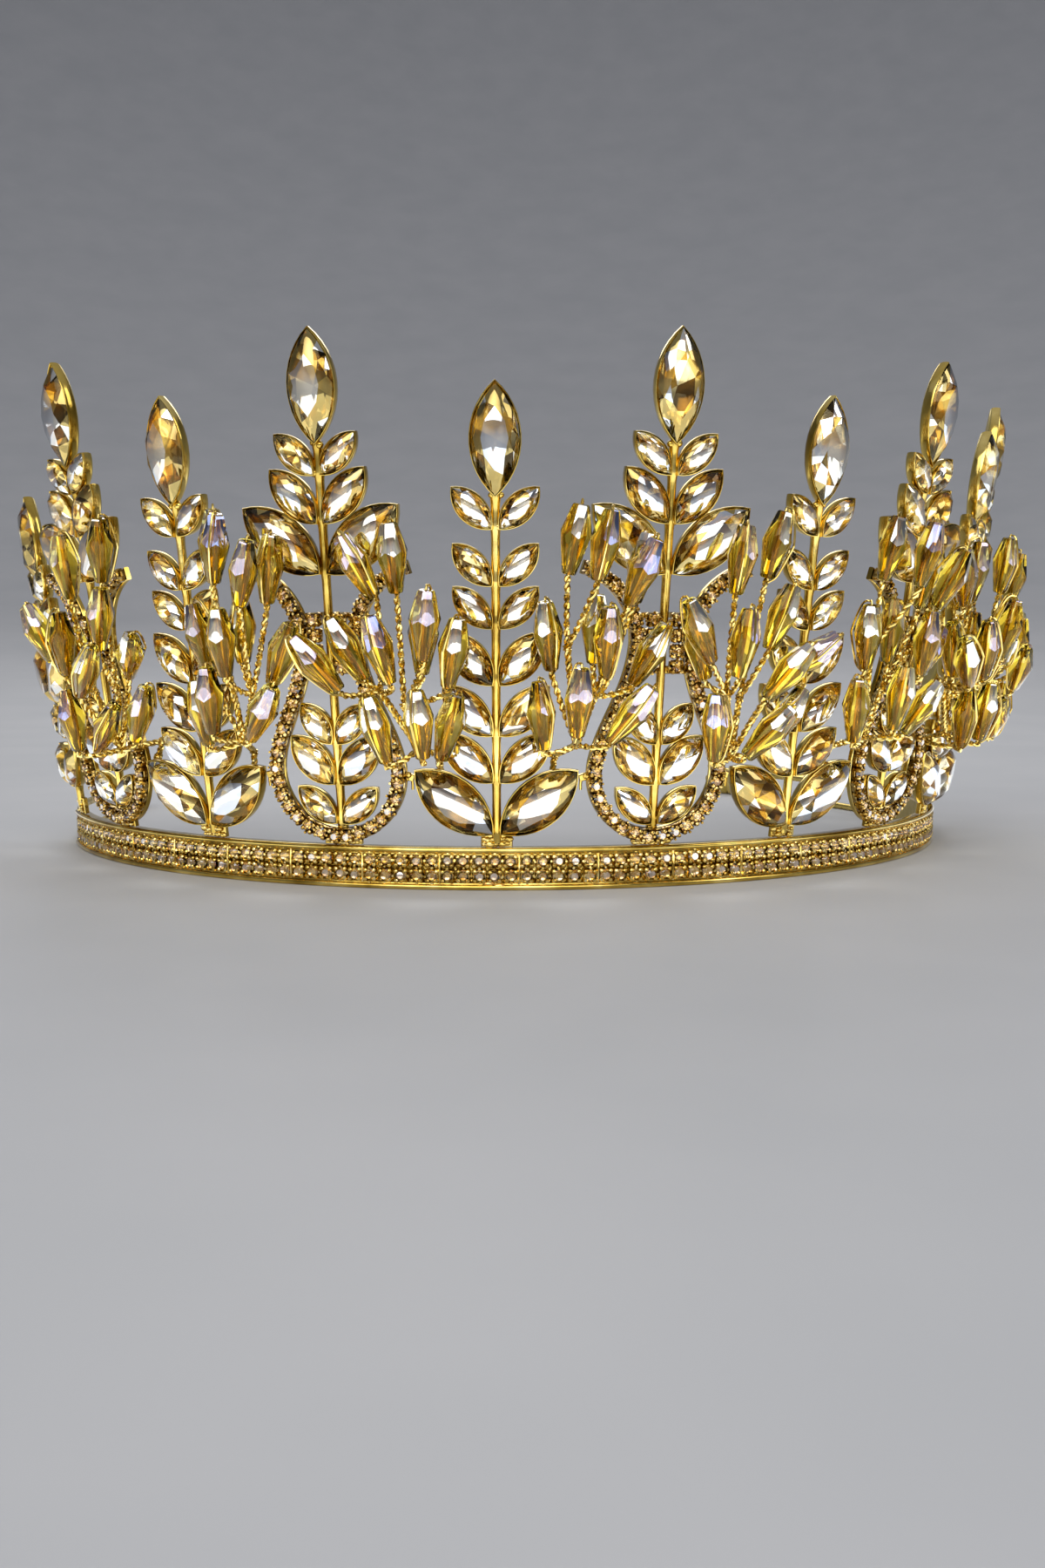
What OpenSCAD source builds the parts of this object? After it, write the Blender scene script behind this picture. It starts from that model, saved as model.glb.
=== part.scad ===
// Bridal crown: an open headband whose channel holds two rows of rhinestones, with eleven leaf castings
// that stand on it and flare outwards. Navette stones sit in their cups, rhinestone strips run round five
// loops, and eight wired sprays of long bicone beads stand in front of them.
// Millimetres. The front faces -Y and +Z is up.
// The origin is on the band's underside at the middle of its front.

/* [Headband] */
// Radius of the band, at its middle line
band_r = 77; // [76:0.5:79]
// Angle that each half of the band turns through
half_deg = 104; // [102:1:106]
// Straight end of each arm, up to its cap
arm_straight = 29; // [20:1:40]
// Height of the band
band_h = 6; // [5.6:0.1:6.6]
// Thickness of the band, front to back
band_t = 2.2; // [2.1:0.1:2.4]
// Height of each rim of the channel
rim_h = 0.8; // [0.7:0.05:0.9]
// Thickness of the plate behind the rhinestones
back_t = 1; // [0.8:0.1:1.1]
// Distance from the middle of the front to the end of its channel, along the band
pave_len = 116; // [114:0.5:118]

/* [Arms] */
// Diameter of the two rail wires
rail_d = 1.3; // [1:0.1:1.5]
// Length of the pointed end cap
cap_len = 11.5; // [10:0.5:13]
// Thickness of the end cap
cap_t = 3; // [2.6:0.1:3.4]

/* [Castings] */
// Distance between two castings, along the band
pitch = 21.8; // [21.7:0.05:22.4]
// Outward lean of the castings and sprays
flare = 8; // [4:0.5:12]
// Thickness of the back plate
plate_t = 0.8; // [0.6:0.1:1]
// Height of the cup walls above the plate
cup_h = 0.9; // [0.6:0.1:1.1]
// Thickness of the cup walls
cup_t = 0.3; // [0.25:0.05:0.4]
// Diameter of the stem
stem_d = 1.5; // [1.2:0.1:1.6]

/* [Loops] */
// Width of a rhinestone strip
strip_w = 2.2; // [2:0.1:2.4]
// Thickness of a rhinestone strip
strip_t = 1.5; // [1.2:0.1:1.7]
// Radius of the round foot of a loop, at the strip's middle line
loop_r = 9.1; // [8.8:0.1:9.2]

/* [Beads] */
// Largest diameter of a bead, across its corners
bead_d = 4.6; // [4:0.1:4.8]
// Length of a bead
bead_len = 9.2; // [8.6:0.1:9.4]
// Diameter of a bead's two ends
bead_end_d = 2; // [1.8:0.1:2.2]
// Diameter of the hole through a bead
bead_hole = 1.05; // [1:0.05:1.2]
// Diameter of the twisted wire
wire_d = 0.8; // [0.6:0.05:0.85]

/* [Hidden] */
$fn = 64;
// Clearance between pieces, and between a stone and its cup
gap = 0.1;
// Height of the castings' feet above the band's rim
foot_gap = 0.2;
// Depth of the castings' backs behind the band's middle line
back_set = 0.2;
// Distance of each leaf's inner tip from the stem's middle
leaf_gap = 0.4;
bead_sides = 10;
leaf_sides = 10;
// Part of a bead's length between its root end and its widest place
bead_belly = 0.55;
// Seat, table and crown of a cut stone, as parts of its outline and width
seat_scale = 0.8;
table_scale = 0.56;
crown_scale = 0.27;

// Leaf pairs of a branch from the foot up: height of the junction, length, width, angle above level
BRANCH_PAIRS = [
    [1.9, 14.2, 7, 40],
    [9.2, 9.9, 5, 45],
    [15.7, 9.9, 5, 46],
    [22.7, 9.6, 5, 50],
    [30.4, 7.9, 4, 47],
    [36.1, 7.9, 4, 47],
    [43.6, 7.9, 4, 46],
];
// Leaf pairs of the last branch on each side, in the same columns
END_PAIRS = [
    [4.6, 9.9, 5, 46],
    [12.8, 7.9, 4, 44],
    [18.2, 14.2, 7, 46],
    [28.8, 9.9, 5, 46],
    [35.4, 7.9, 4, 48],
];
// Leaf pairs of a loop, inside it and above its neck, in the same columns
LOOP_PAIRS = [
    [3.1, 7.7, 4, 44],
    [8.7, 9.2, 5, 49],
    [14.4, 7.2, 4, 54],
    [37.9, 14.2, 7, 40],
    [44.6, 9.9, 5, 49],
    [51, 7.9, 4, 46],
];
// The stone at the top: height of its foot, length, width
BRANCH_TOP = [47.8, 15.2, 7];
END_TOP = [38.6, 14, 6.6];
LOOP_TOP = [55, 15.3, 7];

// Wire knots of a spray: u along the band towards the loop, v up, depth outwards, and the knot before it
KNOTS_A = [
    [-3.4, 7.6, -0.75, 0], [-3.1, 12.7, -0.75, 0], [-0.9, 15.2, 4.4, 1],
    [1.3, 21.8, 4.6, 2], [-2.6, 28.4, 4.8, 2]
];
KNOTS_B = [
    [1.6, 10.6, -0.85, 0], [-0.6, 13.6, -0.75, 0], [2.1, 13.2, 4.6, 1],
    [1.4, 21.5, 4.4, 2], [4.6, 22, 6.2, 2]
];
KNOTS_C = [
    [-3.4, 7.6, -0.75, 0], [-3.1, 12.7, -0.75, 0], [-1.4, 14.6, 4.4, 1],
    [0.4, 20.6, 4.6, 2], [3.6, 22.5, 4.6, 2]
];
// Beads of a spray: u, v and depth of the root end, lean towards the loop, tilt outwards, and its knot
BEADS_A = [
    [-2.8, 38.2, 5.6, 9, 2, 4],
    [0.3, 37.8, 9.6, 10, 2, 4],
    [-4.8, 25.6, 5.8, -7, 4, 2],
    [1.6, 25.4, 10.8, 1, 4, 3],
    [-5.6, 15, 6.2, -6, 2, 2],
    [-1.9, 17.4, 10, 2, 4, 2],
    [4.4, 34.8, 10, 20, 10, 3],
    [6, 34.6, 6, 10, 0, 3],
    [6, 23.8, 6.6, 28, 4, 3],
    [2.9, 16.4, 8.4, 35, 8, 2],
    [0.9, 26.4, 5.4, 2, -2, 3],
];
BEADS_B = [
    [5.4, 36, 7.6, -3, 4, 4],
    [-0.4, 38, 5.8, -11, 2, 3],
    [5.4, 25.2, 10, -5, 2, 4],
    [-0.4, 28.6, 7.8, -18, 2, 3],
    [1.2, 22.4, 10.8, -38, 6, 2],
    [-4.4, 24.6, 6.2, -45, 20, 2],
    [2.2, 14, 8.6, -44, 4, 2],
    [9.4, 27.2, 9.4, 28, 2, 4],
    [7.8, 24.4, 5.6, 16, 0, 4],
    [7.2, 13.6, 8.6, 4, 2, 2],
    [-3.2, 15, 5.8, -30, 2, 2],
];
BEADS_C = [
    [3.6, 35.2, 5.8, 27, 2, 4],
    [0.6, 35.8, 5.8, 4, 2, 3],
    [1, 24.4, 9.8, 15, 2, 4],
    [-2.4, 25, 5.6, -4, 0, 3],
    [-6.2, 23.6, 7.6, -11, 2, 3],
    [5.2, 24.4, 6.2, 28, 2, 4],
    [-3, 14.4, 9.4, 4, 4, 2],
    [2.2, 13.6, 8.4, 14, 4, 2],
    [-4.6, 13.4, 5.6, -15, 0, 1],
    [7.8, 23.4, 9.8, 40, 2, 4],
    [-3.6, 27.6, 10.6, -6, 4, 3],
];

MOTIFS = [for (k = [-5:5]) k];
LOOPS = [for (k = MOTIFS) if (k % 2 == 0) k];
SPRAYS = [for (k = [-4:4]) if (k != 0) k];
// Which of the three tables each spray follows, from left to right
SPRAY_KINDS = [1, 0, 2, 0, 1, 0, 2, 1];

deg_per_mm = 180 / PI / band_r;
plate_deg = pave_len * deg_per_mm;
end_deg = 1.2;
seam_deg = gap * deg_per_mm;
groove_h = band_h - 2 * rim_h;
rim_bevel = 0.25;

// Name of the piece at place k, counted from the middle of the front: left is -X
function place_name(what, k) = k == 0 ? str(what, "_centre")
    : str(what, k < 0 ? "_left_" : "_right_", abs(k));

// Point of the band's middle line where it has turned a degrees from the middle of the front
function band_point(a) = [band_r * sin(a), band_r - band_r * cos(a)];

// Middle line of a loop: a round foot, flanks that close in to a neck, and horns that open above it
foot_y = strip_w / 2 + 0.3 + loop_r;
foot_end_deg = 10;
foot_end = [loop_r * cos(foot_end_deg), foot_y + loop_r * sin(foot_end_deg)];
foot_steps = 10;
curve_steps = 7;
FLANK = [foot_end, foot_end + 5 * [-sin(foot_end_deg), cos(foot_end_deg)], [4.4, 21.5], [3.9, 27.8]];
HORN = [[3.9, 27.8], [3.6, 32.6], [6.6, 37.3], [12, 38.7]];
// Point at t from 0 to 1 on a cubic curve with the four control points p
function curve_point(p, t) = pow(1 - t, 3) * p[0] + 3 * t * pow(1 - t, 2) * p[1]
    + 3 * t * t * (1 - t) * p[2] + pow(t, 3) * p[3];
half_line = concat(
    [for (i = [0:foot_steps]) let (a = -90 + (90 + foot_end_deg) * i / foot_steps)
        [loop_r * cos(a), foot_y + loop_r * sin(a)]],
    [for (i = [1:curve_steps]) curve_point(FLANK, i / curve_steps)],
    [for (i = [1:curve_steps]) curve_point(HORN, i / curve_steps)]
);
loop_line = concat(
    [for (i = [len(half_line) - 1:-1:1]) [-half_line[i].x, half_line[i].y]],
    half_line
);
// Unit normal of a line of points at its point i
function line_normal(p, i) = let (d = p[min(i + 1, len(p) - 1)] - p[max(i - 1, 0)]) [-d.y, d.x] / norm(d);
// Rhinestones beside the stem at the neck: inner edge, outer edge, foot and height of each block
neck_in = stem_d / 2 + gap;
neck_out = 3.6;
neck_foot = 24.2;
neck_h = 8.8;

// Height where the stem starts: above the strip on a loop
function stem_foot(k) = k % 2 == 0 ? foot_y - loop_r + strip_w / 2 + 2 * gap : 0.6;
function pairs_of(k) = k % 2 == 0 ? LOOP_PAIRS : (abs(k) == 5 ? END_PAIRS : BRANCH_PAIRS);
function top_of(k) = k % 2 == 0 ? LOOP_TOP : (abs(k) == 5 ? END_TOP : BRANCH_TOP);

// Radius of the two arcs that bound a leaf outline
function leaf_radius(length, width) = (length * length + width * width) / (4 * width);
// Points of a leaf outline set in by d, from its foot near the origin round to its tip on +Y and back
function leaf_points(length, width, d) = let (
    r = leaf_radius(length, width) - d,
    c = leaf_radius(length, width) - width / 2,
    a = acos(c / r),
    n = leaf_sides / 2
) concat(
    [for (i = [0:n - 1]) let (b = -a + 2 * a * i / n) [r * cos(b) - c, length / 2 + r * sin(b)]],
    [for (i = [0:n - 1]) let (b = a - 2 * a * i / n) [c - r * cos(b), length / 2 + r * sin(b)]]
);
// The points p drawn towards the point c by the factor f, at the height z
function ring(p, c, f, z) = [for (q = p) [c.x + f * (q.x - c.x), c.y + f * (q.y - c.y), z]];

function spray_kind(k) = SPRAY_KINDS[k < 0 ? k + 4 : k + 3];
function knots_of(k) = [KNOTS_A, KNOTS_B, KNOTS_C][spray_kind(k)];
function beads_of(k) = [BEADS_A, BEADS_B, BEADS_C][spray_kind(k)];
// Side of the spray on which its loop stands: 1 is towards +u
function loop_side(k) = k > 0 == (k % 2 == 0) ? 1 : -1;
// A point or direction of a spray's table in the spray's own frame
function spray_point(k, p) = [loop_side(k) * p[0], p[1], p[2]];
function bead_dir(k, b) = spray_point(k, [sin(b[3]) * cos(b[4]), cos(b[3]) * cos(b[4]), sin(b[4])]);

// Frame on the band's middle line at the angle a and the height z, with y pointing into the head
module at_band(a, z = 0) {
    translate([band_point(a).x, band_point(a).y, z]) rotate([0, 0, a]) children();
}
// Sweeps a section, with x outwards from the middle line, along the band between two angles
module sweep(from_deg, to_deg) {
    translate([0, band_r]) rotate([0, 0, from_deg - 90])
        rotate_extrude(angle = to_deg - from_deg) translate([band_r, 0]) children();
}
// Frame of a motif or a spray at the distance s along the band: x along it, y up the flared face, z outwards
module at_face(s) {
    at_band(s * deg_per_mm, band_h + foot_gap) rotate([90 + flare, 0, 0]) children();
}
module at_motif(k) {
    at_face(k * pitch) translate([0, 0, -back_set]) children();
}
module at_spray(k) {
    at_face(sign(k) * (abs(k) - 0.5) * pitch) children();
}
// Turns +Z to the direction d, with its foot at the point p
module along(p, d) {
    translate(p) rotate([0, acos(d.z), atan2(d.y, d.x)]) children();
}

// The channel: a plate with a bevelled rim along its top and bottom, and closed ends
module channel_section() {
    back = -band_t / 2;
    front = band_t / 2;
    lower = [[back, rim_bevel], [back + rim_bevel, 0], [front - rim_bevel, 0], [front, rim_bevel],
        [front, rim_h - rim_bevel], [front - rim_bevel, rim_h], [back + back_t, rim_h]];
    polygon(concat(lower, [for (i = [len(lower) - 1:-1:0]) [lower[i].x, band_h - lower[i].y]]));
}
module headband() color("gold") {
    sweep(-plate_deg, plate_deg) channel_section();
    for (side = [-1, 1])
        sweep(side * plate_deg - (side + 1) / 2 * end_deg, side * plate_deg - (side - 1) / 2 * end_deg)
            translate([0, band_h / 2])
                square([band_t - 2 * rim_bevel, band_h - 2 * rim_bevel], center = true);
}
module band_pave() color("tan") {
    end = plate_deg - end_deg - seam_deg;
    sweep(-end, end) translate([back_t - band_t / 2 + gap, rim_h + gap])
        square([band_t - back_t - gap, groove_h - 2 * gap]);
}

// Side view of an arm's cap, with a collar and a blunt point
module cap_outline() {
    collar = 2;
    neck = 0.4;
    point_h = 1.3;
    mid = band_h / 2;
    lower = [[0, neck], [neck, 0], [collar - neck, 0], [collar, neck], [collar + 1.4, 0],
        [cap_len * 0.45, 0], [cap_len * 0.85, mid - point_h], [cap_len, mid - point_h / 2]];
    polygon(concat(lower, [for (i = [len(lower) - 1:-1:0]) [lower[i].x, band_h - lower[i].y]]));
}
module right_arm() {
    for (z = [rail_d / 2, band_h - rail_d / 2]) {
        sweep(plate_deg + seam_deg, half_deg) translate([0, z]) circle(d = rail_d);
        at_band(half_deg, z) {
            sphere(d = rail_d + 0.2);
            rotate([0, 90, 0]) cylinder(d = rail_d, h = arm_straight + 1);
        }
    }
    at_band(half_deg) translate([arm_straight, cap_t / 2, 0]) rotate([90, 0, 0]) linear_extrude(cap_t)
        cap_outline();
}
module arm_left() color("darkgoldenrod") mirror([1, 0, 0]) right_arm();
module arm_right() color("darkgoldenrod") right_arm();

module leaf(length, width, inset) {
    r = leaf_radius(length, width);
    intersection_for (side = [-1, 1])
        translate([side * (r - width / 2), length / 2]) circle(r - inset);
}
// Frame of each leaf of the motif k, with $leaf as its length and width
module at_leaves(k) {
    for (row = pairs_of(k), side = [-1, 1]) {
        $leaf = [row[1], row[2]];
        translate([side * leaf_gap, row[0]]) rotate(side * (row[3] - 90)) children();
    }
}
module at_top(k) {
    $leaf = [top_of(k)[1], top_of(k)[2]];
    translate([0, top_of(k)[0]]) children();
}
module leaf_outlines(k, inset) {
    at_leaves(k) leaf($leaf[0], $leaf[1], inset);
    at_top(k) leaf($leaf[0], $leaf[1], inset);
}
module strip_outline(width) {
    n = len(loop_line);
    polygon(concat(
        [for (i = [0:n - 1]) loop_line[i] + width / 2 * line_normal(loop_line, i)],
        [for (i = [n - 1:-1:0]) loop_line[i] - width / 2 * line_normal(loop_line, i)]
    ));
}
module neck_blocks() {
    for (side = [-1, 1])
        translate([side > 0 ? neck_in : -neck_out, neck_foot]) square([neck_out - neck_in, neck_h]);
}
// Tab that holds a casting's foot, with the stub that a loop's stem rises from behind its strip
module foot_tab(k) {
    width = k % 2 == 0 ? 5.6 : 4.4;
    height = k % 2 == 0 ? 1 : 2.6;
    translate([-width / 2, 0]) square([width, height]);
    translate([-stem_d / 2, 0]) square([stem_d, stem_foot(k) + stem_d]);
}
// Back plate of the loop: the strip's backing, bridged to the stem at the neck
module loop_plate() {
    strip_outline(strip_w - 0.6);
    translate([-neck_out, neck_foot + 0.4]) square([2 * neck_out, 1.4]);
}
module setting(k) color("goldenrod") at_motif(k) {
    linear_extrude(plate_t) {
        leaf_outlines(k, 0);
        foot_tab(k);
        if (k % 2 == 0) loop_plate();
    }
    linear_extrude(plate_t + cup_h) difference() {
        leaf_outlines(k, 0);
        leaf_outlines(k, cup_t);
    }
    translate([0, stem_foot(k), stem_d / 2 * cos(22.5)]) rotate([-90, 22.5, 0])
        cylinder(d = stem_d, h = top_of(k)[0] - stem_foot(k) + 0.5, $fn = 8);
}
module loop_pave(k) color("tan") at_motif(k) translate([0, 0, plate_t + gap]) {
    linear_extrude(strip_t) strip_outline(strip_w);
    linear_extrude(strip_t) neck_blocks();
}

// A cut leaf-shaped stone: flat seat, girdle, sloping crown and table
module stone(length, width) {
    n = leaf_sides;
    outline = leaf_points(length, width, cup_t + gap);
    centre = [0, length / 2];
    points = concat(
        ring(outline, centre, seat_scale, 0),
        ring(outline, centre, 1, cup_h),
        ring(outline, centre, table_scale, cup_h + crown_scale * width)
    );
    faces = concat(
        [[for (i = [0:n - 1]) i], [for (i = [n - 1:-1:0]) 2 * n + i]],
        [for (level = [0, 1], i = [0:n - 1]) let (j = (i + 1) % n)
            [level * n + j, level * n + i, (level + 1) * n + i, (level + 1) * n + j]]
    );
    translate([0, 0, plate_t + gap]) polyhedron(points, faces);
}
module crest_stone(k) color("wheat") at_motif(k) at_top(k) stone($leaf[0], $leaf[1]);
module leaf_stones(k) color("burlywood") at_motif(k) at_leaves(k) stone($leaf[0], $leaf[1]);

// A long bicone bead with flat ends, drilled along +Z, with its root end at the origin
module bead() {
    n = bead_sides;
    levels = [[bead_end_d / 2, 0], [bead_d / 2, bead_len * bead_belly], [bead_end_d / 2, bead_len]];
    points = [for (l = levels, i = [0:n - 1]) [l[0] * cos(360 * i / n), l[0] * sin(360 * i / n), l[1]]];
    faces = concat(
        [[for (i = [0:n - 1]) i], [for (i = [n - 1:-1:0]) 2 * n + i]],
        [for (level = [0, 1], i = [0:n - 1]) let (j = (i + 1) % n)
            [level * n + j, level * n + i, (level + 1) * n + i, (level + 1) * n + j]]
    );
    difference() {
        polyhedron(points, faces);
        translate([0, 0, -1]) cylinder(d = bead_hole, h = bead_len + 2);
    }
}
module spray_beads(k) color("peru") at_spray(k) {
    for (b = beads_of(k)) along(spray_point(k, b), bead_dir(k, b)) bead();
}
// Rod between two points, that runs past each of them by lap
module rod(a, b, lap = 0.3) {
    d = (b - a) / norm(b - a);
    along(a - lap * d, d) cylinder(d = wire_d, h = norm(b - a) + 2 * lap, $fn = 6);
}
// Twisted wires: a trunk that branches at its knots, a stem to each bead and on through it to a stop
module spray_wire(k) color("khaki") at_spray(k) {
    knots = [for (p = knots_of(k)) spray_point(k, p)];
    neck = 0.8;
    stop_d = 1.4;
    stop_t = 0.4;
    wrap_d = 1.3;
    wrap_h = 1.4;
    for (i = [1:len(knots) - 1]) {
        from = knots[knots_of(k)[i][3]];
        d = (knots[i] - from) / norm(knots[i] - from);
        rod(from, knots[i]);
        along(knots[i] - wrap_h / 2 * d, d) cylinder(d = wrap_d, h = wrap_h, $fn = 8);
    }
    for (b = beads_of(k)) {
        d = bead_dir(k, b);
        root = spray_point(k, b);
        rod(knots[b[5]], root - neck * d);
        rod(root - neck * d, root + (bead_len + gap + stop_t / 2) * d, 0.1);
        along(root + (bead_len + gap) * d, d) cylinder(d = stop_d, h = stop_t, $fn = 6);
    }
}

headband();
band_pave();
arm_left();
arm_right();
for (k = MOTIFS) {
    setting(k);
    crest_stone(k);
    leaf_stones(k);
}
for (k = LOOPS) {
    loop_pave(k);
}
for (k = SPRAYS) {
    spray_beads(k);
    spray_wire(k);
}
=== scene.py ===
import math
import random

import bmesh
import bpy
import numpy as np
from mathutils import Matrix, Vector


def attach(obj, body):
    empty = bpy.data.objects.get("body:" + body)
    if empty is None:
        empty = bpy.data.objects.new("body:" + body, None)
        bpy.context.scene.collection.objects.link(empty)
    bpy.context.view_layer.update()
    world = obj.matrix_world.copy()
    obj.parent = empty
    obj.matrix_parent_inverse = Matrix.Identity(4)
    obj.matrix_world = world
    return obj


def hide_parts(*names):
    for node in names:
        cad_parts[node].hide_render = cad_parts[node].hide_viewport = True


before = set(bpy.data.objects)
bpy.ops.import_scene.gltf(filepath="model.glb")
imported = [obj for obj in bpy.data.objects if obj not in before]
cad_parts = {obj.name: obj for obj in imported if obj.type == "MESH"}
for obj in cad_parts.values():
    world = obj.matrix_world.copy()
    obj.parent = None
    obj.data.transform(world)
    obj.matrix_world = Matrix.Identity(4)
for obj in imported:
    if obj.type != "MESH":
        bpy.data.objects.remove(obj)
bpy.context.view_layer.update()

# Everything is worked out in millimetres, in the part's own frame, and turned to metres as each mesh is made.
METRE = 0.001

# Sizes that the part's source names, with the same meanings
BAND_R = 77
HALF_DEG = 104
ARM_STRAIGHT = 29
BAND_H = 6
BAND_T = 2.2
RIM_H = 0.8
BACK_T = 1
PAVE_LEN = 116
RAIL_D = 1.3
PITCH = 21.8
FLARE = 8
PLATE_T = 0.8
STEM_D = 1.5
STRIP_W = 2.2
STRIP_T = 1.5
LOOP_R = 9.1
BEAD_D = 4.6
BEAD_LEN = 9.2
BEAD_END_D = 2
BEAD_BELLY = 0.55
GAP = 0.1
FOOT_GAP = 0.2
BACK_SET = 0.2
LEAF_GAP = 0.4

# Leaf pairs from the foot up: height of the junction, length, width, angle above level
BRANCH_PAIRS = [
    (1.9, 14.2, 7, 40),
    (9.2, 9.9, 5, 45),
    (15.7, 9.9, 5, 46),
    (22.7, 9.6, 5, 50),
    (30.4, 7.9, 4, 47),
    (36.1, 7.9, 4, 47),
    (43.6, 7.9, 4, 46),
]
END_PAIRS = [
    (4.6, 9.9, 5, 46),
    (12.8, 7.9, 4, 44),
    (18.2, 14.2, 7, 46),
    (28.8, 9.9, 5, 46),
    (35.4, 7.9, 4, 48),
]
LOOP_PAIRS = [
    (3.1, 7.7, 4, 44),
    (8.7, 9.2, 5, 49),
    (14.4, 7.2, 4, 54),
    (37.9, 14.2, 7, 40),
    (44.6, 9.9, 5, 49),
    (51, 7.9, 4, 46),
]
# The stone at the top: height of its foot, length, width
BRANCH_TOP = (47.8, 15.2, 7)
END_TOP = (38.6, 14, 6.6)
LOOP_TOP = (55, 15.3, 7)

# Wire knots of a spray: u towards the loop, v up, depth outwards, and the knot before it
KNOTS = [
    [(-3.4, 7.6, -0.75, 0), (-3.1, 12.7, -0.75, 0), (-0.9, 15.2, 4.4, 1), (1.3, 21.8, 4.6, 2), (-2.6, 28.4, 4.8, 2)],
    [(1.6, 10.6, -0.85, 0), (-0.6, 13.6, -0.75, 0), (2.1, 13.2, 4.6, 1), (1.4, 21.5, 4.4, 2), (4.6, 22, 6.2, 2)],
    [(-3.4, 7.6, -0.75, 0), (-3.1, 12.7, -0.75, 0), (-1.4, 14.6, 4.4, 1), (0.4, 20.6, 4.6, 2), (3.6, 22.5, 4.6, 2)],
]
# Beads of a spray: u, v and depth of the root end, lean towards the loop, tilt outwards, and its knot
BEADS = [
    [
        (-2.8, 38.2, 5.6, 9, 2, 4),
        (0.3, 37.8, 9.6, 10, 2, 4),
        (-4.8, 25.6, 5.8, -7, 4, 2),
        (1.6, 25.4, 10.8, 1, 4, 3),
        (-5.6, 15, 6.2, -6, 2, 2),
        (-1.9, 17.4, 10, 2, 4, 2),
        (4.4, 34.8, 10, 20, 10, 3),
        (6, 34.6, 6, 10, 0, 3),
        (6, 23.8, 6.6, 28, 4, 3),
        (2.9, 16.4, 8.4, 35, 8, 2),
        (0.9, 26.4, 5.4, 2, -2, 3),
    ],
    [
        (5.4, 36, 7.6, -3, 4, 4),
        (-0.4, 38, 5.8, -11, 2, 3),
        (5.4, 25.2, 10, -5, 2, 4),
        (-0.4, 28.6, 7.8, -18, 2, 3),
        (1.2, 22.4, 10.8, -38, 6, 2),
        (-4.4, 24.6, 6.2, -45, 20, 2),
        (2.2, 14, 8.6, -44, 4, 2),
        (9.4, 27.2, 9.4, 28, 2, 4),
        (7.8, 24.4, 5.6, 16, 0, 4),
        (7.2, 13.6, 8.6, 4, 2, 2),
        (-3.2, 15, 5.8, -30, 2, 2),
    ],
    [
        (3.6, 35.2, 5.8, 27, 2, 4),
        (0.6, 35.8, 5.8, 4, 2, 3),
        (1, 24.4, 9.8, 15, 2, 4),
        (-2.4, 25, 5.6, -4, 0, 3),
        (-6.2, 23.6, 7.6, -11, 2, 3),
        (5.2, 24.4, 6.2, 28, 2, 4),
        (-3, 14.4, 9.4, 4, 4, 2),
        (2.2, 13.6, 8.4, 14, 4, 2),
        (-4.6, 13.4, 5.6, -15, 0, 1),
        (7.8, 23.4, 9.8, 40, 2, 4),
        (-3.6, 27.6, 10.6, -6, 4, 3),
    ],
]
# Which of these each spray follows
SPRAY_KINDS = {-4: 1, -3: 0, -2: 2, -1: 0, 1: 1, 2: 0, 3: 2, 4: 1}

DEG_PER_MM = math.degrees(1 / BAND_R)
MOTIFS = range(-5, 6)
# The ring at a loop's foot: height of its centre, and the angle above level at which its flank begins
FOOT_Y = STRIP_W / 2 + 0.3 + LOOP_R
FOOT_END_DEG = 10


def place_name(what, k):
    return f"{what}_centre" if k == 0 else f"{what}_{'left' if k < 0 else 'right'}_{abs(k)}"


def pairs_of(k):
    return LOOP_PAIRS if k % 2 == 0 else END_PAIRS if abs(k) == 5 else BRANCH_PAIRS


def top_of(k):
    return LOOP_TOP if k % 2 == 0 else END_TOP if abs(k) == 5 else BRANCH_TOP


# ---- Frames, as 4 x 4 matrices in millimetres ----


def moved(x, y, z):
    return Matrix.Translation((x, y, z))


def turned(degrees, axis):
    return Matrix.Rotation(math.radians(degrees), 4, axis)


def at_band(angle, z=0):
    """Frame on the band's middle line: x along it, y into the head."""
    a = math.radians(angle)
    return moved(BAND_R * math.sin(a), BAND_R - BAND_R * math.cos(a), z) @ turned(angle, "Z")


def at_face(s):
    """Frame over the distance s along the band: x along it, y up the leaning face, z outwards."""
    return at_band(s * DEG_PER_MM, BAND_H + FOOT_GAP) @ turned(90 + FLARE, "X")


def at_motif(k):
    return at_face(k * PITCH) @ moved(0, 0, -BACK_SET)


def at_spray(k):
    return at_face(math.copysign(abs(k) - 0.5, k) * PITCH)


# ---- Forms ----


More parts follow.
